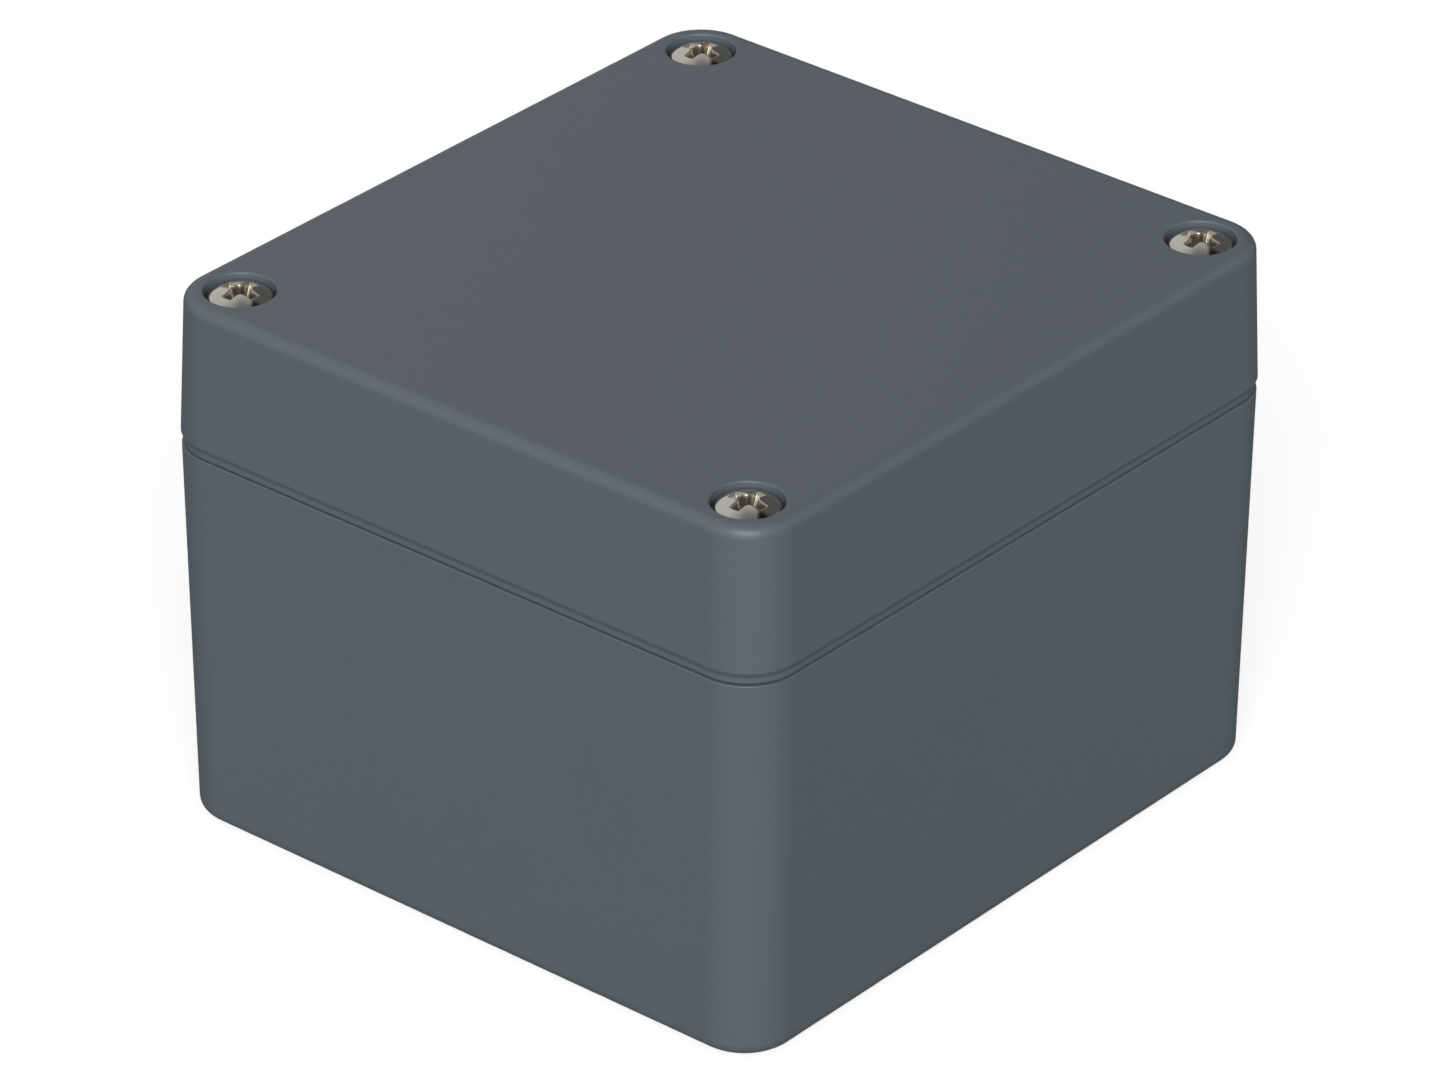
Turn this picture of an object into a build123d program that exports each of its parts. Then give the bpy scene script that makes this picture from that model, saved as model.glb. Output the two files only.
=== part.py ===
"""Small sealed enclosure: a moulded tub, and a deep lid held by four captive screws.

Millimetres. The origin is at the middle of the underside, +Z is up, X runs across the
shorter side and Y along the longer one.
"""
from build123d import *
from math import cos, pi, radians, sin, tan
import os

# The closed box, outside
length_x = 75.0
length_y = 80.0
rim_height = 41.0
lid_height = 16.3
corner_r = 5.5
base_draft = 0.70
lid_draft = 1.82
base_setback = 0.05
foot_edge_r = 1.35
lid_edge_r = 1.15
rim_edge_r = 0.12

# The lid's lip, set back below a bevel, and the gap that it leaves above the rim
lip_setback = 0.25
lip_height = 1.17
lip_bevel = 0.6
lip_gap = 0.18

# Walls and the inside space, whose plan is a cross between four corner blocks
side_wall = 3.2
floor_thickness = 3.0
lid_top_thickness = 3.0
space_corner_r = 2.5
block_corner_r = 3.0
floor_edge_r = 0.8
lid_rib_step = 0.8

# Wall-mounting holes, at the foot of a well in each block
wall_hole_inset_x = 15.0
wall_hole_inset_y = 6.0
wall_hole_r = 2.25
well_r = 4.25
well_floor = 5.0
well_web = 2.6
lid_core_r = 3.6
lid_core_top = 4.0

# Seal: a groove in the lid, a tongue on the rim and the rubber between them
seal_offset = 1.2
groove_width = 1.8
tongue_width = 1.0
tongue_height = 1.6
tongue_edge = 0.15
gasket_height = 1.75

# Lid screws, in wells with rounded mouths
screw_inset = 5.9
screw_well_r = 3.55
screw_well_depth = 2.85
screw_well_mouth_r = 0.2
head_r = 3.3
head_rim_height = 2.24
head_dome_height = 0.75
head_edge_r = 0.6
thread_r = 2.0
thread_pitch = 0.7
thread_length = 7.4
waist_r = 1.5
tip_chamfer = 0.5
screw_length = 20.5
screw_bore_r = 2.25

# The screws' cross recess, a number 2: four wings, whose flanks and ends lean inwards
recess_across = 4.27
recess_wing = 1.12
recess_corner_r = 0.45
recess_depth = 2.25
recess_flank_lean = 5.75
recess_end_lean = 26.5

# Retaining washer on the screw's waist, in a pocket of the lid
retainer_r = 3.2
retainer_height = 1.2
retainer_play = 0.05
retainer_step = 0.1
pocket_r = 3.55
screw_turns = 10
pocket_headroom = 0.35
seat_r = 4.7

# Brass inserts for the lid screws and for a mounting plate
insert_r = 2.8
insert_length = 8.0
insert_chamfer = 0.3
insert_flange_r = 3.1
insert_flange = 0.6
thread_play = 0.05
tip_room = 1.5
plate_inset_x = 12.5
plate_inset_y = 22.0
plate_insert_length = 4.5
boss_r = 4.2
boss_height = 5.0
boss_foot_r = 1.0

# Heights and places that follow
lip_bottom = rim_height + lip_gap
lid_edge_z = lip_bottom + lip_height
box_top = rim_height + lid_height
space_top = box_top - lid_top_thickness
space_x = length_x / 2 - side_wall
space_y = length_y / 2 - side_wall
block_x = length_x / 2 - wall_hole_inset_x - well_r - well_web
block_y = length_y / 2 - wall_hole_inset_y - well_r - well_web
tongue_top = rim_height + tongue_height
groove_top = tongue_top + gasket_height
head_seat = box_top - screw_well_depth
screw_tip = head_seat - screw_length
thread_top = screw_tip + thread_length
screw_rise = screw_turns * thread_pitch
retainer_bottom = thread_top + retainer_step
pocket_top = retainer_bottom + retainer_height + screw_rise + pocket_headroom
boss_top = floor_thickness + boss_height


def four_places(inset_x, inset_y):
    """Four places this far in from the box's sides, round from the front right."""
    x = length_x / 2 - inset_x
    y = length_y / 2 - inset_y
    return [(x, -y), (x, y), (-x, y), (-x, -y)]


screw_places = four_places(screw_inset, screw_inset)
wall_hole_places = four_places(wall_hole_inset_x, wall_hole_inset_y)
plate_places = four_places(plate_inset_x, plate_inset_y)


def outline(inset, height):
    """The box's rounded outline, inset from the nominal sides, at this height."""
    plan = RectangleRounded(length_x - 2 * inset, length_y - 2 * inset, corner_r)
    return Pos(0, 0, height) * plan


def drafted_block(low_inset, low_z, high_inset, high_z):
    """A rounded block whose straight sides lean between two outlines."""
    return loft([outline(low_inset, low_z), outline(high_inset, high_z)], ruled=True)


def cross_plan(grow):
    """Plan of the inside space, with every side moved outwards by grow."""
    along_x = RectangleRounded(2 * (space_x + grow), 2 * (block_y + grow), space_corner_r + grow)
    along_y = RectangleRounded(2 * (block_x + grow), 2 * (space_y + grow), space_corner_r + grow)
    plan = along_x + along_y
    block_corners = [
        corner
        for corner in plan.vertices()
        if abs(abs(corner.X) - block_x - grow) < 0.01 and abs(abs(corner.Y) - block_y - grow) < 0.01
    ]
    return fillet(block_corners, block_corner_r - grow)


def upright(plan, bottom, top):
    """The plan pulled straight up from one height to another."""
    return extrude(Pos(0, 0, bottom) * plan, top - bottom)


def rod(place, radius, bottom, top):
    """A round bar, or the tool for a round hole, standing at a place."""
    return upright(Pos(*place) * Circle(radius), bottom, top)


def turned(place, profile_points):
    """A solid turned from a half profile of (radius, height) points."""
    profile = make_face(Polyline(*[(r, 0, z) for r, z in profile_points], close=True))
    return Pos(*place) * revolve(profile, Axis.Z)


def seal_ring(width, bottom, top):
    """A ring of this width along the seal's path."""
    outer = cross_plan(seal_offset + width / 2)
    inner = cross_plan(seal_offset - width / 2)
    return upright(outer - inner, bottom, top)


def tongue():
    """The rim's tongue, with both top edges broken."""
    ring = seal_ring(tongue_width, rim_height, tongue_top)
    top_edges = ring.edges().group_by(Axis.Z)[-1]
    return chamfer(top_edges, tongue_edge)


def plate_boss(place):
    """A floor boss with a rounded foot, without its hole."""
    boss = rod(place, boss_r, floor_thickness - boss_foot_r, boss_top)
    skirt = rod(place, boss_r + boss_foot_r, floor_thickness - boss_foot_r, floor_thickness + boss_foot_r)
    cove = Pos(place[0], place[1], floor_thickness + boss_foot_r) * Torus(boss_r + boss_foot_r, boss_foot_r)
    return boss + (skirt - cove)


def insert_hole(place, top, length):
    """The hole an insert sits in: its barrel, its flange and room for a screw's tip."""
    hole = rod(place, insert_r, top - length, top)
    hole += rod(place, insert_flange_r, top - insert_flange, top)
    return hole + rod(place, thread_r + thread_play, top - length - tip_room, top)


def base():
    """The tub: one moulding, with its corner blocks, wells, floor bosses and tongue."""
    foot_inset = base_setback + rim_height * tan(radians(base_draft))
    tub = drafted_block(foot_inset, 0, base_setback, rim_height)
    tub = fillet(tub.edges().group_by(Axis.Z)[0], foot_edge_r)
    tub = fillet(tub.edges().group_by(Axis.Z)[-1], rim_edge_r)
    space = upright(cross_plan(0), floor_thickness, rim_height + 1)
    space = fillet(space.edges().group_by(Axis.Z)[0], floor_edge_r)
    tub = tub - space + tongue()
    for place in plate_places:
        tub += plate_boss(place)
        tub -= insert_hole(place, boss_top, plate_insert_length)
    for place in wall_hole_places:
        tub -= rod(place, well_r, well_floor, rim_height)
        tub -= rod(place, wall_hole_r, 0, well_floor)
    for place in screw_places:
        tub -= insert_hole(place, rim_height, insert_length)
    return tub


def lid():
    """The cover: one moulding, with its lip, seal groove, screw wells and pockets."""
    top_inset = (box_top - lid_edge_z) * tan(radians(lid_draft))
    cover = drafted_block(0, lid_edge_z, top_inset, box_top)
    cover = fillet(cover.edges().group_by(Axis.Z)[-1], lid_edge_r)
    cover += drafted_block(lip_setback, lid_edge_z - lip_bevel, 0, lid_edge_z)
    cover += upright(outline(lip_setback, 0), lip_bottom, lid_edge_z - lip_bevel)
    for place in screw_places:
        cover += rod(place, seat_r, rim_height, lip_bottom)
    space = upright(cross_plan(-lid_rib_step), rim_height, space_top)
    space = fillet(space.edges().group_by(Axis.Z)[-1], floor_edge_r)
    cover -= space
    cover -= seal_ring(groove_width, rim_height, groove_top)
    for place in wall_hole_places:
        cover -= rod(place, lid_core_r, rim_height, box_top - lid_core_top)
    for place in screw_places:
        cover -= rod(place, pocket_r, rim_height, pocket_top)
        cover -= rod(place, screw_bore_r, pocket_top, head_seat)
        cover -= rod(place, screw_well_r, head_seat, box_top)
    mouths = [
        edge
        for edge in cover.edges().group_by(Axis.Z)[-1]
        if edge.geom_type == GeomType.CIRCLE and abs(edge.radius - screw_well_r) < 0.01
    ]
    return fillet(mouths, screw_well_mouth_r)


def wing_plan(wing, height):
    """The recess's wings as a plan at this height, with rounded corners between them."""
    plan = Rectangle(2 * recess_across, wing) + Rectangle(wing, 2 * recess_across)
    corners = [corner for corner in plan.vertices() if abs(corner.X) < wing and abs(corner.Y) < wing]
    return Pos(0, 0, height) * fillet(corners, recess_corner_r)


def cross_recess(head_top):
    """The tool for the recess: its wings, cut to the cone that their ends lie on."""
    bottom, top = head_top - recess_depth, head_top + recess_depth
    flank_step = recess_depth * tan(radians(recess_flank_lean))
    end_step = recess_depth * tan(radians(recess_end_lean))
    wings = loft(
        [wing_plan(recess_wing - 2 * flank_step, bottom), wing_plan(recess_wing + 2 * flank_step, top)],
        ruled=True,
    )
    cone = [
        (0, bottom),
        (recess_across / 2 - end_step, bottom),
        (recess_across / 2 + end_step, top),
        (0, top),
    ]
    return wings & turned((0, 0), cone)


def lid_screw(place):
    """A captive screw: domed pan head with a cross recess, waist and threaded end."""
    rim_top = head_seat + head_rim_height
    head_top = rim_top + head_dome_height
    dome_r = (head_r**2 + head_dome_height**2) / (2 * head_dome_height)
    half_angle = pi / 4 * head_dome_height / head_r
    dome_mid = (dome_r * sin(half_angle), 0, head_top - dome_r * (1 - cos(half_angle)))
    dome = ThreePointArc((0, 0, head_top), dome_mid, (head_r, 0, rim_top))
    shaft = Polyline(
        (head_r, 0, rim_top),
        (head_r, 0, head_seat),
        (waist_r, 0, head_seat),
        (waist_r, 0, thread_top),
        (thread_r, 0, thread_top),
        (thread_r, 0, screw_tip + tip_chamfer),
        (thread_r - tip_chamfer, 0, screw_tip),
        (0, 0, screw_tip),
        (0, 0, head_top),
    )
    screw = revolve(make_face(Wire([dome] + shaft.edges())), Axis.Z)
    head_edge = [edge for edge in screw.edges() if abs(edge.center().Z - rim_top) < 0.01]
    screw = fillet(head_edge, head_edge_r)
    screw -= cross_recess(head_top)
    return Pos(*place) * screw


def retainer(place):
    """A flat nylon washer with a running fit on the screw's waist."""
    washer = rod(place, retainer_r, retainer_bottom, retainer_bottom + retainer_height)
    return washer - rod(place, waist_r + retainer_play, retainer_bottom, retainer_bottom + retainer_height)


def insert(place, top, length):
    """A brass insert: flanged barrel with a chamfered threaded hole."""
    bore_r = thread_r + thread_play
    mouth_r = bore_r + insert_chamfer
    return turned(
        place,
        [
            (bore_r, top - length),
            (insert_r, top - length),
            (insert_r, top - insert_flange),
            (insert_flange_r, top - insert_flange),
            (insert_flange_r, top),
            (mouth_r, top),
            (bore_r, top - insert_chamfer),
        ],
    )


def gasket():
    """The rubber seal, filling the groove above the tongue."""
    return seal_ring(groove_width, tongue_top, groove_top)


def save(shape, node):
    """Write one piece under its own name."""
    export_step(shape, f"parts/{node}.step")


os.makedirs("parts", exist_ok=True)
save(base(), "base")
save(lid(), "lid")
save(gasket(), "lid_gasket")
for number, place in enumerate(screw_places, start=1):
    save(lid_screw(place), f"lid_screw_{number}")
    save(retainer(place), f"screw_retainer_{number}")
    save(insert(place, rim_height, insert_length), f"thread_insert_{number}")
for number, place in enumerate(plate_places, start=1):
    save(insert(place, boss_top, plate_insert_length), f"plate_insert_{number}")
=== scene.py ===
import bpy
import bmesh
import math
import numpy as np
from mathutils import Matrix, Vector


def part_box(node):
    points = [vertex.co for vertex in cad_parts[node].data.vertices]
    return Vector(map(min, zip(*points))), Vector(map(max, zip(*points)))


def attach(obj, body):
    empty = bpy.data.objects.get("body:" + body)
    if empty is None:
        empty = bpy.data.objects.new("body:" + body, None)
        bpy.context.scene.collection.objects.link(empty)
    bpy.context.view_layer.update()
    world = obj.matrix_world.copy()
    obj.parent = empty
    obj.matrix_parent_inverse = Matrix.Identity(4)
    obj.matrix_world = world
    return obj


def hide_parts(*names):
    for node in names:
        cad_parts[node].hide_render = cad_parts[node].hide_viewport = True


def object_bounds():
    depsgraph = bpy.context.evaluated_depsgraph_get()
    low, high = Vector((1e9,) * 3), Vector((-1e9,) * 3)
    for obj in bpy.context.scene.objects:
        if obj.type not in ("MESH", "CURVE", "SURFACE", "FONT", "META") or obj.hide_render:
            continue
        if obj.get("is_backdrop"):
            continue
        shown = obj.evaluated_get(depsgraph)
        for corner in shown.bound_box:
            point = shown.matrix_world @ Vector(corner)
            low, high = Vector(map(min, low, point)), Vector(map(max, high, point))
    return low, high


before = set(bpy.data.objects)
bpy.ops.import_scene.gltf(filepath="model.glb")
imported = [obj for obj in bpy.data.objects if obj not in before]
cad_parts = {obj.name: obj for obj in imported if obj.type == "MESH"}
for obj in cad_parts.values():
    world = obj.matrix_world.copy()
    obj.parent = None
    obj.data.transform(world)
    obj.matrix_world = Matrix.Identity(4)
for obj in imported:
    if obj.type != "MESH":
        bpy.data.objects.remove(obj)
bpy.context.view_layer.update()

# Tub and cover: two shells, injection moulded in one dark blue-grey plastic. The tool's surface
# leaves a fine even grain, with the slight waviness and clouding of any large moulded face. Their
# shapes, draft and edges are those of the frame, so only the finish is made here.
shell_dark = (0.0978, 0.1202, 0.1388, 1)
shell_light = (0.1008, 0.1236, 0.1424, 1)
grain_depth = 1.4e-6


class Signal:
    """What one node gives to another. Arithmetic on it adds Math nodes."""

    def __init__(self, finish, socket):
        self.finish = finish
        self.socket = socket

    def maths(self, operation, first, second):
        return self.finish.add("Math", {"operation": operation}, {0: first, 1: second})

    def __add__(self, other):
        return self.maths("ADD", self, other)

    def __sub__(self, other):
        return self.maths("SUBTRACT", self, other)

    def __rsub__(self, other):
        return self.maths("SUBTRACT", other, self)

    def __mul__(self, other):
        return self.maths("MULTIPLY", self, other)

    __radd__ = __add__
    __rmul__ = __mul__


class Finish:
    """A node tree being built, with one way to add any node to it."""

    def __init__(self, owner):
        owner.use_nodes = True
        self.owner = owner
        self.tree = owner.node_tree
        self.tree.nodes.clear()

    def add(self, kind, settings, sockets, out=0):
        """A node of this type: its settings first, then the values or links of its sockets."""
        node = self.tree.nodes.new("ShaderNode" + kind)
        for name, value in settings.items():
            setattr(node, name, value)
        for name, value in sockets.items():
            if isinstance(value, Signal):
                self.tree.links.new(value.socket, node.inputs[name])
            else:
                node.inputs[name].default_value = value
        return Signal(self, node.outputs[out]) if node.outputs else self.owner

    def place(self):
        """Where on the object a point lies, in metres."""
        return self.add("TexCoord", {}, {}, out="Object")

    def noise(self, where, per_unit, detail=2.0):
        """Noise from 0 to 1 with this many features to the unit of where."""
        return self.add("TexNoise", {}, {"Vector": where, "Scale": per_unit, "Detail": detail})

    def blend(self, share, first, second):
        """Two colours mixed."""
        mix = {"Factor": share, 6: first, 7: second}
        return self.add("Mix", {"data_type": "RGBA"}, mix, out=2)

    def step(self, value, start, end, first, last):
        """A level that goes smoothly from first to last while the value goes from start to end."""
        places = {"Value": value, "From Min": start, "From Max": end, "To Min": first, "To Max": last}
        return self.add("MapRange", {"interpolation_type": "SMOOTHSTEP"}, places)

    def relief(self, height, depth):
        """A surface normal from a height, of which 1 stands for this depth in metres."""
        return self.add("Bump", {}, {"Height": height, "Distance": depth, "Strength": 1.0})

    def surface(self, **sockets):
        """The shader itself, joined to the output."""
        named = {name.replace("_", " "): value for name, value in sockets.items()}
        shader = self.add("BsdfPrincipled", {}, named)
        self.add("OutputMaterial", {}, {"Surface": shader})
        return self.owner


def finish_node(name, material):
    """Gives a node of the frame its material."""
    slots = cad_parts[name].data.materials
    slots.clear()
    slots.append(material)


shell = Finish(bpy.data.materials.new("moulded_shell"))
place = shell.place()
cloud = shell.noise(place, 55.0, detail=3.0)
grain = shell.noise(place, 7500.0)
wave = shell.noise(place, 260.0, detail=1.0)
shell_plastic = shell.surface(
    Base_Color=shell.blend(cloud, shell_dark, shell_light),
    Roughness=0.43 + cloud * 0.03 + grain * 0.03,
    Normal=shell.relief(grain + wave * 1.6, grain_depth),
)
for name in ("base", "lid"):
    finish_node(name, shell_plastic)

# Lid screws: captive M4 screws of bright turned stainless steel, one in each corner well. Each has
# a domed pan head with a number 2 cross recess, a reduced waist for its retainer, and a rolled
# thread. Lengths here are in millimetres and angles in degrees, as on a drawing.
mm = 0.001
head_r = 3.3
head_height = 2.99
head_crown = 0.82
head_edge = 0.55
wing_span = 4.13
wing_width = 1.0
wing_corner = 0.08
nub_distance = 0.93
nub_slant = 20.0
flank_lean = 5.75
end_lean = 26.5
recess_depth = 2.0
edge_break = 0.15
waist_r = 1.5
shank = 20.5
thread_long = 7.4
thread_depth = 0.5
thread_pitch = 0.7
tip_break = 0.12
steel_dark = (0.57, 0.54, 0.49, 1)
steel_light = (0.67, 0.64, 0.59, 1)
# Painted shade: the steel is darker and browner inside the cross recess, where shade falls.
steel_painted_recess_shade = (0.46, 0.422, 0.36, 1)

# The head's broken lower edge, its flat seat and the fillet into the waist: radius, height.
underside = ((head_r, 0.12), (head_r - 0.04, 0.035), (head_r - 0.13, 0.0), (waist_r + 0.3, 0.0),
             (waist_r + 0.12, -0.05), (waist_r + 0.03, -0.15), (waist_r, -0.3))
# The blunt cone at the bottom of the recess: share of the walls' outline, depth below their foot.
floor_cone = ((1e-4, 0.3), (0.35, 0.18), (0.7, 0.06))
# The way from the middle of that cone to where the pressed walls end and their painted shade starts to
# fade, and to where it is gone.
wall_end, recess_shade_gone = 2.65, 3.0

ball = (head_r**2 + head_crown**2) / (2 * head_crown)
rim_in = head_r - head_edge
rim_lean = math.asin(rim_in / (ball - head_edge))
rim_z = head_height - ball + math.sqrt((ball - head_edge) ** 2 - rim_in**2)


def grid_quads(rows, columns):
    """Quads between neighbouring rows and columns of a grid of points, as point numbers."""
    corner = np.arange((rows - 1) * columns).reshape(rows - 1, columns)[:, :-1].ravel()
    return np.stack([corner, corner + columns, corner + columns + 1, corner + 1], axis=-1)


def mesh_piece(name, points, quads, spots, sharp):
    """Object of these points, in millimetres, and quads, with a UV place for each corner.

    Points that fall together are merged, and edges that turn by more than sharp stay sharp.
    """
    mesh = bpy.data.meshes.new(name)
    mesh.from_pydata((points * mm).tolist(), [], quads.tolist())
    mesh.uv_layers.new(name="spread").data.foreach_set("uv", spots.ravel().astype(np.float32))
    merged = bmesh.new()
    merged.from_mesh(mesh)
    bmesh.ops.remove_doubles(merged, verts=merged.verts, dist=1.5e-6)
    bmesh.ops.dissolve_degenerate(merged, edges=merged.edges, dist=1e-7)
    merged.to_mesh(mesh)
    merged.free()
    mesh.shade_smooth()
    mesh.set_sharp_from_angle(angle=math.radians(sharp))
    piece = bpy.data.objects.new(name, mesh)
    bpy.context.scene.collection.objects.link(piece)
    return piece


def turned_mesh(name, middle, across, height, angles, sharp):
    """Mesh of a grid of points: row by row a radius and a height at each angle about an axis.

    The axis is upright through middle. The first and last angle are the same direction, so the
    two edges of the grid meet there, one thread pitch apart where the rows climb. The UV place
    is the share of a turn and the way along the rows' first points.
    """
    points = np.stack([across * np.cos(angles), across * np.sin(angles), height], axis=-1)
    rise = np.diff(height[:, 0], prepend=height[0, 0])
    along = np.cumsum(np.hypot(np.diff(across[:, 0], prepend=across[0, 0]), rise))
    spots = np.stack(np.broadcast_arrays(angles / (2 * np.pi), along[:, None]), axis=-1).reshape(-1, 2)
    quads = grid_quads(*across.shape)
    piece = mesh_piece(name, points.reshape(-1, 3), quads, spots[quads.ravel()], sharp)
    piece.data.transform(Matrix.Translation((middle.x * mm, middle.y * mm, 0)))
    return piece


def wing_edge(half, reach, nub):
    """One quarter of the cross recess's outline, about its wing along +x, as complex numbers.

    The wing's flanks lie at y = -half and y = half and its end on the circle |p| = reach.
    Between two wings stands a blunt nub, whose two faces lean back by nub_slant each from its
    ridge, which is at the distance nub from the axis.
    """
    slant = math.tan(math.radians(nub_slant))
    aside = (nub - half * math.sqrt(2)) / (1 - slant) * np.linspace(0, 1, 4)
    face = (nub + slant * aside + 1j * aside) * np.exp(-0.25j * np.pi)
    bend = min(wing_corner, half * 0.6)
    foot = math.asin((half - bend) / (reach - bend))
    centre = (reach - bend) * np.exp(-1j * foot)
    share = np.linspace(0, 1, 7)[1:-1]
    flank = face[-1] * (1 - share) + (centre.real - 1j * half) * share
    turn = centre + bend * np.exp(1j * np.linspace(-np.pi / 2, -foot, 6))
    end = reach * np.exp(1j * np.linspace(-foot, foot, 7))[1:-1]
    side = np.concatenate([face, flank, turn])
    return np.concatenate([side, end, side.conj()[::-1][:-1]])


def recess_edge(grow, depth):
    """The recess's whole outline, moved outwards by grow, at a depth below the head's top.

    Its flanks and nubs lean inwards by flank_lean and the ends of its wings by end_lean. The
    depth is one number, or one for each point, between those of the first and the last plan.
    """
    flank_step = recess_depth * math.tan(math.radians(flank_lean))
    end_step = recess_depth * math.tan(math.radians(end_lean))
    plans = []
    for share in (0, 1):
        half = wing_width / 2 + grow - share * flank_step
        reach = wing_span / 2 + grow - share * end_step
        quarter = wing_edge(half, reach, nub_distance + grow - share * flank_step)
        plan = np.concatenate([quarter * 1j**k for k in range(4)])
        plans.append(np.append(plan, plan[0]))
    return plans[0] + (plans[1] - plans[0]) * depth / recess_depth


def crown_drop(distance):
    """How far the head's ball lies below its top at this distance from the axis."""
    return ball - np.sqrt(ball**2 - distance**2)


def recess_mouth(grow):
    """The recess's outline on the ball, moved outwards by grow, and its depth below the top.

    It is found in four rounds, each at the ball's depth under the outline of the round before.
    """
    line = recess_edge(grow, 0)
    for _ in range(4):
        line = recess_edge(grow, crown_drop(np.abs(line)))
    return line, crown_drop(np.abs(line))


def recess_rows():
    """The recess from the middle of its floor to the outer edge of its mouth, as outline, depth.

    The walls go in a straight line from the floor to below the mouth, and a quarter arc of the
    radius edge_break leads from there on to the ball.
    """
    foot = recess_edge(0, recess_depth)
    rows = [(foot * share, recess_depth + sag) for share, sag in floor_cone]
    _, mouth_depth = recess_mouth(0)
    for share in (1, 0.8, 0.6, 0.4, 0.2, 0):
        depth = (mouth_depth + edge_break) * (1 - share) + recess_depth * share
        rows.append((recess_edge(0, depth), depth))
    for turn in np.radians((15, 35, 55, 75, 90)):
        line, depth = recess_mouth(edge_break * (1 - math.cos(turn)))
        rows.append((line, depth + edge_break * (1 - math.sin(turn))))
    return rows


def thread_rows(angles, top, bottom, core, depth, run_in, run_out):
    """A thread as rows that climb with the angle: straight flanks between flat crests and roots.

    Radius is core + depth * form. Form is 1 on a crest, an eighth of the pitch wide, and 0 in a
    root, a quarter of it wide, and fades to 0 over run_in below the top and run_out above the
    bottom.
    """
    turns = int(math.ceil((top - bottom) / thread_pitch)) + 1
    phase = (np.arange(turns)[:, None] + np.array([0.0625, 0.375, 0.625, 0.9375])).ravel()
    form = np.tile([1.0, 0.0, 0.0, 1.0], turns)
    height = top - thread_pitch * (phase[:, None] - (angles - angles[0]) / (2 * np.pi))
    fade = np.clip((top - height) / run_in, 0, 1) * np.clip((height - bottom) / run_out, 0, 1)
    return core + depth * form[:, None] * fade, np.clip(height, bottom, top)


def screw_mesh(name, middle, seat):
    """One screw, from the middle of its recess over the head and down the shank to its tip.

    The head is part of a ball, rounded at its rim by an arc that touches both the ball and the
    side. Between the recess's mouth and the rim, the rows go over from the mouth's outline and
    angles to a circle with even angles. Heights count from the seat under the head.
    """
    foot = recess_edge(0, recess_depth)
    even = np.angle(foot[0]) + np.linspace(0, 2 * np.pi, len(foot))
    ones = np.ones_like(even)
    rows = [(np.unwrap(np.angle(line)), np.abs(line), (head_height - depth) * ones)
            for line, depth in recess_rows()]
    lip_angles, lip, _ = rows[-1]
    crown_r = ball * math.sin(rim_lean)
    for share in (0.12, 0.3, 0.5, 0.7, 0.87, 1.0):
        radius = lip * (1 - share) + crown_r * share
        rows.append((lip_angles * (1 - share) + even * share, radius, head_height - crown_drop(radius)))
    for turn in np.linspace(rim_lean, math.pi / 2, 9)[1:]:
        radius = rim_in + head_edge * math.sin(turn)
        rows.append((even, radius * ones, (rim_z + head_edge * math.cos(turn)) * ones))
    rows += [(even, radius * ones, up * ones) for radius, up in underside]
    thread = thread_rows(even, thread_long - shank, tip_break - shank, waist_r, thread_depth,
                         run_in=0.45, run_out=0.5)
    rows += [(even, radius, height) for radius, height in zip(*thread)]
    rows += [(even, radius * ones, -shank * ones) for radius in (waist_r - tip_break, waist_r / 3, 0)]
    angles, across, height = (np.array(values) for values in zip(*rows))
    return turned_mesh(name, middle, across, seat + height, angles, sharp=44.0)


def lathe_rings(finish, spread, per_mm):
    """Marks of the lathe: noise drawn out round the axis, with this many rings to the millimetre."""
    drawn = finish.add("VectorMath", {"operation": "MULTIPLY"}, {0: spread, 1: (3.0, per_mm, 1.0)})
    return finish.noise(drawn, 1.0, detail=4.0)


steel = Finish(bpy.data.materials.new("turned_stainless"))
spread = steel.add("UVMap", {"uv_map": "spread"}, {})
rings = lathe_rings(steel, spread, 14.0)
smear = steel.noise(steel.place(), 900.0, detail=3.0)
from_middle = steel.add("SeparateXYZ", {}, {"Vector": spread}, out="Y")
# Painted shade: 1 in the cross recess, fading to 0 over its mouth. It darkens the steel's colour there and
# also roughens it.
painted_recess_shade = steel.step(from_middle, start=wall_end, end=recess_shade_gone, first=1.0, last=0.0)
stainless = steel.surface(
    Base_Color=steel.blend(painted_recess_shade, steel.blend(smear, steel_dark, steel_light), steel_painted_recess_shade),
    Metallic=1.0,
    Roughness=0.07 + rings * 0.03 + smear * 0.04 + painted_recess_shade * 0.21,
    Normal=steel.relief(rings, 0.2e-6),
)

for number in range(1, 5):
    low, high = (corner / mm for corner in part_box(f"lid_screw_{number}"))
    screw = screw_mesh(f"cross_screw_{number}", (low + high) / 2, low.z + shank)
    screw.data.materials.append(stainless)
    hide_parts(f"lid_screw_{number}")
    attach(screw, f"screw_{number}")

# Screw retainers: a nylon washer on each screw's waist keeps the screw in the cover when it is
# taken off. It is cut from natural nylon, a little translucent, with edges broken by tumbling.
washer_hole_r = 1.55
washer_edge = 0.14
nylon_dark = (0.68, 0.66, 0.59, 1)
nylon_light = (0.76, 0.745, 0.69, 1)


def rounded_box(left, right, low, high, low_edge, high_edge, steps):
    """Closed profile of a rectangle whose corners are quarter arcs.

    It runs anticlockwise from the lower right. The two lower arcs have the radius low_edge and
    the two upper ones high_edge.
    """
    corners = ((right - low_edge, low + low_edge, low_edge),
               (right - high_edge, high - high_edge, high_edge),
               (left + high_edge, high - high_edge, high_edge),
               (left + low_edge, low + low_edge, low_edge))
    arcs = []
    for quarter, (u, z, edge) in enumerate(corners):
        turn = np.linspace(quarter - 1, quarter, steps) * np.pi / 2
        arcs.append(np.stack([u + edge * np.cos(turn), z + edge * np.sin(turn)], axis=-1))
    return np.concatenate(arcs)


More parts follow.
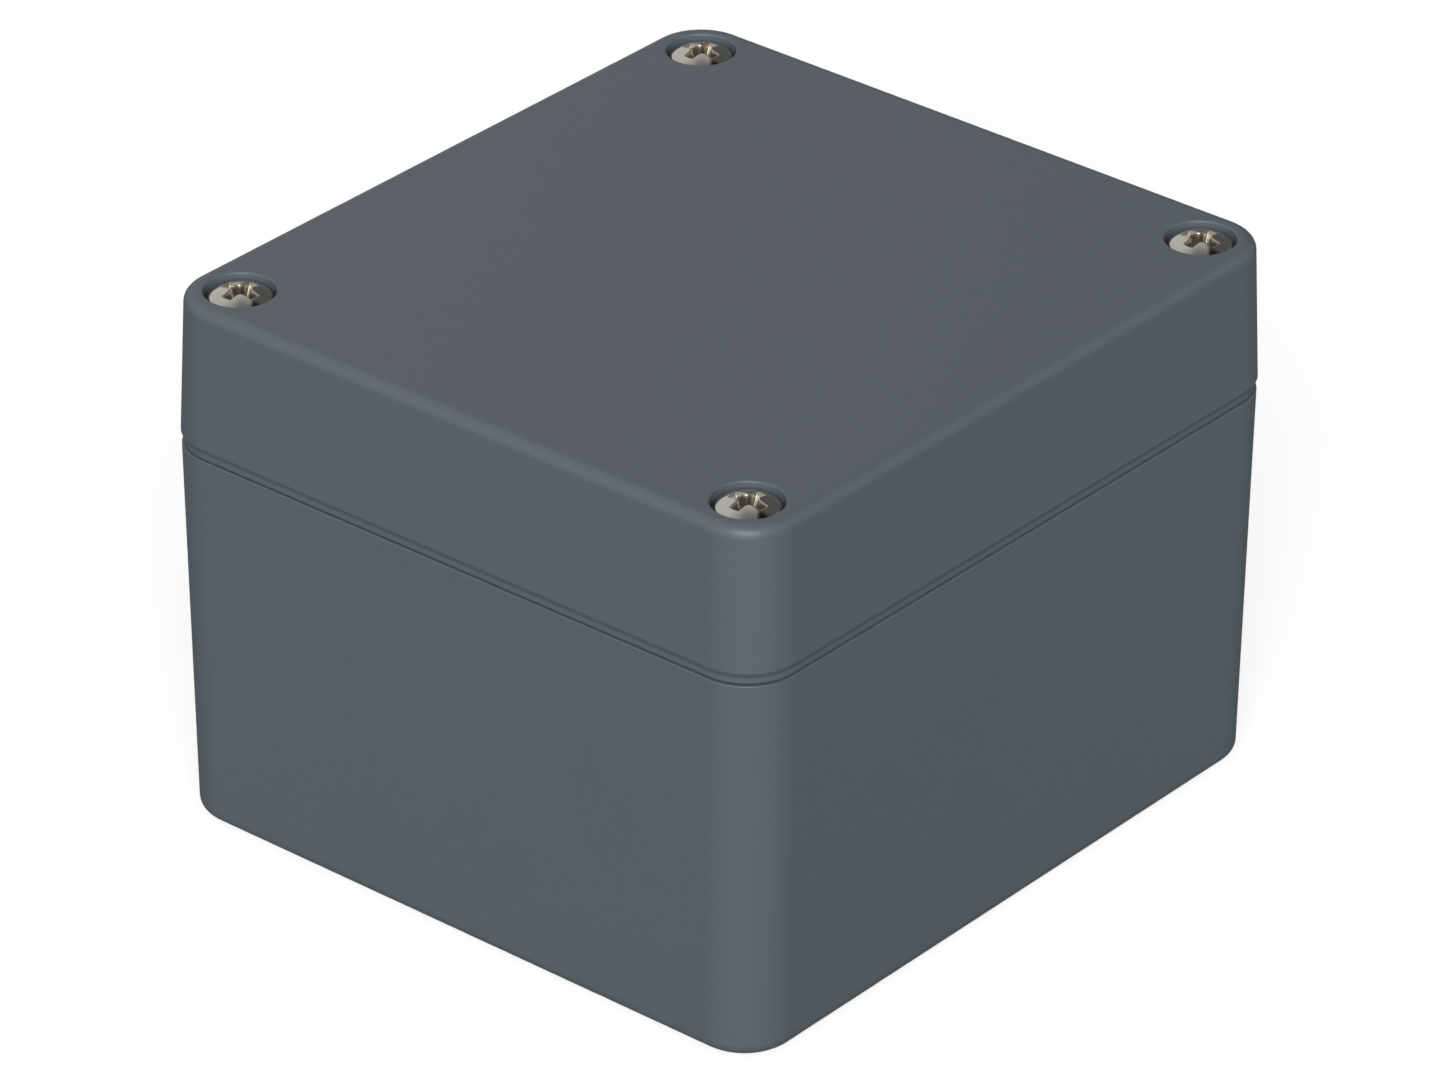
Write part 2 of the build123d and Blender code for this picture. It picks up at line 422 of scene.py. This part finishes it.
def ring_mesh(name, middle, profile, columns=96, sharp=40.0):
    """A ring turned from a closed profile of (radius, height) points, in their order."""
    angles = np.linspace(0, 2 * np.pi, columns + 1)
    profile = np.vstack([profile, profile[:1]])
    across = np.repeat(profile[:, :1], columns + 1, axis=1)
    height = np.repeat(profile[:, 1:], columns + 1, axis=1)
    return turned_mesh(name, middle, across, height, angles, sharp)


nylon = Finish(bpy.data.materials.new("natural_nylon"))
haze = nylon.noise(nylon.place(), 500.0, detail=3.0)
natural_nylon = nylon.surface(
    Base_Color=nylon.blend(haze, nylon_dark, nylon_light),
    Roughness=0.42 + haze * 0.12,
    Subsurface_Weight=0.2,
    Subsurface_Scale=0.0006,
    Normal=nylon.relief(haze, 4e-6),
)

for number in range(1, 5):
    low, high = (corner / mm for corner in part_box(f"screw_retainer_{number}"))
    washer_r = (high.x - low.x) / 2
    section = rounded_box(washer_hole_r, washer_r, low.z, high.z, washer_edge, washer_edge, steps=5)
    washer = ring_mesh(f"nylon_washer_{number}", (low + high) / 2, section)
    washer.data.materials.append(natural_nylon)
    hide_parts(f"screw_retainer_{number}")
    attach(washer, f"retainer_{number}")

# Brass inserts: bushes moulded into the tub, four long ones under the lid screws and four short
# ones in the floor bosses. Each has a straight knurl to grip the plastic, a flange and a tapped
# hole right through, countersunk at its mouth.
barrel_r = 2.8
barrel_foot_r = 2.45
knurl_depth = 0.12
knurl_foot_r = 2.72
knurl_foot_high = 0.25
neck_r = 2.6
neck_high = 0.2
flange_r = 3.1
flange_high = 0.6
flange_break = 0.06
hole_mouth_r = 2.4
hole_r = 2.06
hole_thread_depth = 0.26
brass_dark = (0.58, 0.40, 0.15, 1)
brass_light = (0.78, 0.60, 0.29, 1)


def insert_mesh(name, middle, low, top):
    """One bush, from the foot of its barrel up over the flange and down its tapped hole.

    The knurl's radius falls by knurl_depth and back over every four columns.
    """
    columns = 120
    angles = np.linspace(0, 2 * np.pi, columns + 1)
    ones = np.ones_like(angles)
    knurl = barrel_r - knurl_depth * np.abs(np.arange(columns + 1) % 4 - 2) / 2
    neck_z = top - flange_high - neck_high
    outside = ((barrel_foot_r, low), (knurl_foot_r * knurl / barrel_r, low), (knurl, low + knurl_foot_high),
               (knurl, neck_z - 0.05), (neck_r, neck_z), (neck_r, top - flange_high),
               (flange_r - flange_break, top - flange_high),
               (flange_r, top - flange_high + flange_break), (flange_r, top - flange_break),
               (flange_r - flange_break, top), (hole_mouth_r, top), (hole_mouth_r - 0.05, top - 0.02),
               (hole_r, top - 0.3))
    rows = [(radius * ones, height * ones) for radius, height in outside]
    rows += zip(*thread_rows(angles, top - 0.31, low + 0.05, hole_r, hole_thread_depth,
                             run_in=0.3, run_out=0.3))
    rows += [(radius * ones, low * ones) for radius in (hole_r + 0.04, barrel_foot_r)]
    across, height = (np.array(values) for values in zip(*rows))
    return turned_mesh(name, middle, across, height, angles, sharp=30.0)


bright = Finish(bpy.data.materials.new("turned_brass"))
rings = lathe_rings(bright, bright.add("UVMap", {"uv_map": "spread"}, {}), 10.0)
tarnish = bright.noise(bright.place(), 350.0, detail=4.0)
turned_brass = bright.surface(
    Base_Color=bright.blend(tarnish, brass_dark, brass_light),
    Metallic=1.0,
    Roughness=0.22 + rings * 0.12 + tarnish * 0.12,
    Normal=bright.relief(rings + tarnish * 0.5, 2e-6),
)

for kind in ("thread_insert", "plate_insert"):
    for number in range(1, 5):
        low, high = (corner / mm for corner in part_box(f"{kind}_{number}"))
        bush = insert_mesh(f"{kind}_bush_{number}", (low + high) / 2, low.z, high.z)
        bush.data.materials.append(turned_brass)
        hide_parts(f"{kind}_{number}")
        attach(bush, "base")

# Seal: one endless cord of soft black rubber, pressed into the groove of the cover. It goes round
# the inside space and inside the corner columns. Its face has the shallow line that the tub's
# tongue has pressed into it.
seal_half = 0.9
face_edge = 0.4
back_edge = 0.25
press_half = 0.46
press_depth = 0.07
press_flank = 0.1
column_x = 16.85
column_y = 28.35
outer_bend = 3.7
inner_bend = 1.8
rubber_dark = (0.014, 0.014, 0.015, 1)
rubber_light = (0.030, 0.030, 0.031, 1)


def cross_path(arm_x, arm_y, steps=12):
    """The seal's way round the inside space: a cross whose corners are rounded.

    Gives points and outward directions. An outer corner's arc turns about a centre inside the
    cross, an inner corner's about one in the column, with the direction reversed.
    """
    bend = np.radians(np.linspace(0, 90, steps))
    points, outward = [], []
    for flip_x, flip_y in ((1, 1), (-1, 1), (-1, -1), (1, -1)):
        arcs = (((arm_x - outer_bend, column_y - outer_bend), outer_bend, bend, 1),
                ((column_x + inner_bend, column_y + inner_bend), inner_bend, math.pi * 1.5 - bend, -1),
                ((column_x - outer_bend, arm_y - outer_bend), outer_bend, bend, 1))
        quarter_points, quarter_outward = [], []
        for centre, radius, turn, sign in arcs:
            ray = np.stack([np.cos(turn), np.sin(turn)], axis=-1)
            quarter_points.append(np.array(centre) + radius * ray)
            quarter_outward.append(sign * ray)
        flip, order = np.array([flip_x, flip_y]), flip_x * flip_y
        points.append((np.concatenate(quarter_points) * flip)[::order])
        outward.append((np.concatenate(quarter_outward) * flip)[::order])
    return np.concatenate(points), np.concatenate(outward)


def swept_mesh(name, path, outward, profile, sharp):
    """A closed profile of (outward, height) points carried once round a closed path."""
    path, outward, profile = (np.vstack([line, line[:1]]) for line in (path, outward, profile))
    flat = path[:, None, :] + outward[:, None, :] * profile[None, :, :1]
    points = np.concatenate([flat, np.broadcast_to(profile[None, :, 1:], (*flat.shape[:2], 1))], axis=-1)
    rows, columns = points.shape[:2]
    quads = grid_quads(rows, columns)
    run = np.cumsum(np.linalg.norm(np.diff(path, axis=0, prepend=path[:1]), axis=1))
    turn = np.arange(columns) / (columns - 1)
    spots = np.stack(np.broadcast_arrays(run[:, None], turn[None, :]), axis=-1).reshape(-1, 2)
    return mesh_piece(name, points.reshape(-1, 3), quads, spots[quads.ravel()], sharp)


low, high = (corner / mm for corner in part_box("lid_gasket"))
press_floor = press_half - press_flank
pressed_line = [(-press_half, low.z), (-press_floor, low.z + press_depth),
                (press_floor, low.z + press_depth), (press_half, low.z)]
seal_body = rounded_box(-seal_half, seal_half, low.z, high.z, face_edge, back_edge, steps=6)
path, outward = cross_path(high.x - seal_half, high.y - seal_half)
seal = swept_mesh("groove_seal", path, outward, np.vstack([seal_body, pressed_line]), sharp=45.0)

rubber = Finish(bpy.data.materials.new("soft_rubber"))
place = rubber.place()
bloom = rubber.noise(place, 240.0, detail=4.0)
pores = rubber.noise(place, 5200.0)
seal.data.materials.append(rubber.surface(
    Base_Color=rubber.blend(bloom, rubber_dark, rubber_light),
    Roughness=0.62 + bloom * 0.2,
    Normal=rubber.relief(pores + bloom, 6e-6),
))
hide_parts("lid_gasket")
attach(seal, "lid")

# Table: a plain pale top, which keeps a soft shadow of the box. The box is lit by its matt colour,
# and the camera sees it paler and glowing a little, so that it looks white. It lies a hair under
# the box, so that no two faces fall together.
table_half = 4.0
table_z = -0.00003
table_matt = (0.263, 0.287, 0.301, 1)
table_seen = (0.45, 0.45, 0.45, 1)
table_glow = 0.70

table_mesh = bpy.data.meshes.new("table")
table_corners = [(x * table_half, y * table_half, table_z) for x, y in ((-1, -1), (1, -1), (1, 1), (-1, 1))]
table_mesh.from_pydata(table_corners, [], [(0, 1, 2, 3)])
table = bpy.data.objects.new("table", table_mesh)
bpy.context.scene.collection.objects.link(table)
pale = Finish(bpy.data.materials.new("pale_table"))
ray = pale.add("LightPath", {}, {}, out="Is Camera Ray")
matt = pale.add("BsdfDiffuse", {}, {"Color": table_matt})
seen = pale.add("BsdfDiffuse", {}, {"Color": table_seen})
glow = pale.add("Emission", {}, {"Color": (1, 1, 1, 1), "Strength": table_glow})
white = pale.add("AddShader", {}, {0: seen, 1: glow})
pale.add("OutputMaterial", {}, {"Surface": pale.add("MixShader", {}, {0: ray, 1: matt, 2: white})})
table_mesh.materials.append(pale.owner)
table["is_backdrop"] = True

# Camera: a long lens that looks down on the front corner. Angles are in degrees and lengths in
# millimetres. An azimuth turns anticlockwise from the front, seen from above, and a height is the
# angle above the level.
view_azimuth, view_height, view_roll = 39.9506, 29.5357, 0.2653
view_distance, view_aside, view_above = 842.1574, -0.1958, 23.2855
sensor_width = 36
lens_length = 211.831145


def direction(azimuth, height):
    """The way from the box towards this azimuth and height, as a vector of length 1."""
    azimuth, height = math.radians(azimuth), math.radians(height)
    level_part = math.cos(height)
    return Vector((math.sin(azimuth) * level_part, -math.cos(azimuth) * level_part, math.sin(height)))


back = direction(view_azimuth, view_height)
right = direction(view_azimuth + 90, 0)
up = back.cross(right)
roll = math.radians(view_roll)
level = right * math.cos(roll) + up * math.sin(roll)
upright = up * math.cos(roll) - right * math.sin(roll)
stand = Matrix((level, upright, back)).transposed().to_4x4()
stand.translation = (back * view_distance + right * view_aside + up * view_above) * mm
camera = bpy.data.objects.new("camera", bpy.data.cameras.new("camera"))
bpy.context.scene.collection.objects.link(camera)
camera.data.sensor_width = sensor_width
camera.data.lens = lens_length
camera.data.clip_start = 0.01
camera.matrix_world = stand
bpy.context.scene.camera = camera
bpy.context.scene.view_settings.view_transform = "Standard"

# Light: one large soft lamp at the front right and an even sky, white to the camera. Gloss mirrors
# a studio in place of the sky: a bright screen on the left, a dark gap beside it that leans with
# height, a paler screen far on the right, and a dim ceiling.
lamp_azimuth, lamp_height = 37.6, 29.3
lamp_angle = 36
# Levels are shares of white: a sun of strength pi gives a white face that looks at it the level 1.
lamp_level = 0.895
sky_level = 0.31
gap_lean = 0.3
darkest_mirrored = 0.01

world = Finish(bpy.data.worlds.new("studio"))
bpy.context.scene.world = world.owner
way = world.add("TexCoord", {}, {}, out="Generated")
rightward = world.add("VectorMath", {"operation": "DOT_PRODUCT"}, {0: way, 1: tuple(right)}, out="Value")
upward = world.add("VectorMath", {"operation": "DOT_PRODUCT"}, {0: way, 1: (0, 0, 1)}, out="Value")
screen = world.step(rightward, start=-0.20, end=-0.02, first=0.655, last=0.505)
gap = world.step(rightward - upward * gap_lean, start=-0.12, end=-0.02, first=0.0, last=-0.39)
side_screen = world.step(rightward, start=0.5, end=0.72, first=0.0, last=0.26)
ceiling = world.step(upward, start=0.76, end=1.0, first=0.0, last=-0.33)
studio = screen + gap + side_screen + ceiling
mirrored = world.add("Math", {"operation": "MAXIMUM"}, {0: studio, 1: darkest_mirrored})
camera_ray = world.add("LightPath", {}, {}, out="Is Camera Ray")
glossy_ray = world.add("LightPath", {}, {}, out="Is Glossy Ray")
strength = sky_level + glossy_ray * (mirrored - sky_level) + camera_ray * (1 - sky_level)
sky = world.add("Background", {}, {"Color": (1, 1, 1, 1), "Strength": strength})
world.add("OutputWorld", {}, {"Surface": sky})

lamp = bpy.data.lights.new("soft_lamp", "SUN")
lamp.energy = lamp_level * math.pi
lamp.angle = math.radians(lamp_angle)
lamp_object = bpy.data.objects.new("soft_lamp", lamp)
lamp_object.rotation_euler = direction(lamp_azimuth, lamp_height).to_track_quat("Z", "Y").to_euler()
bpy.context.scene.collection.objects.link(lamp_object)

low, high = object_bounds()
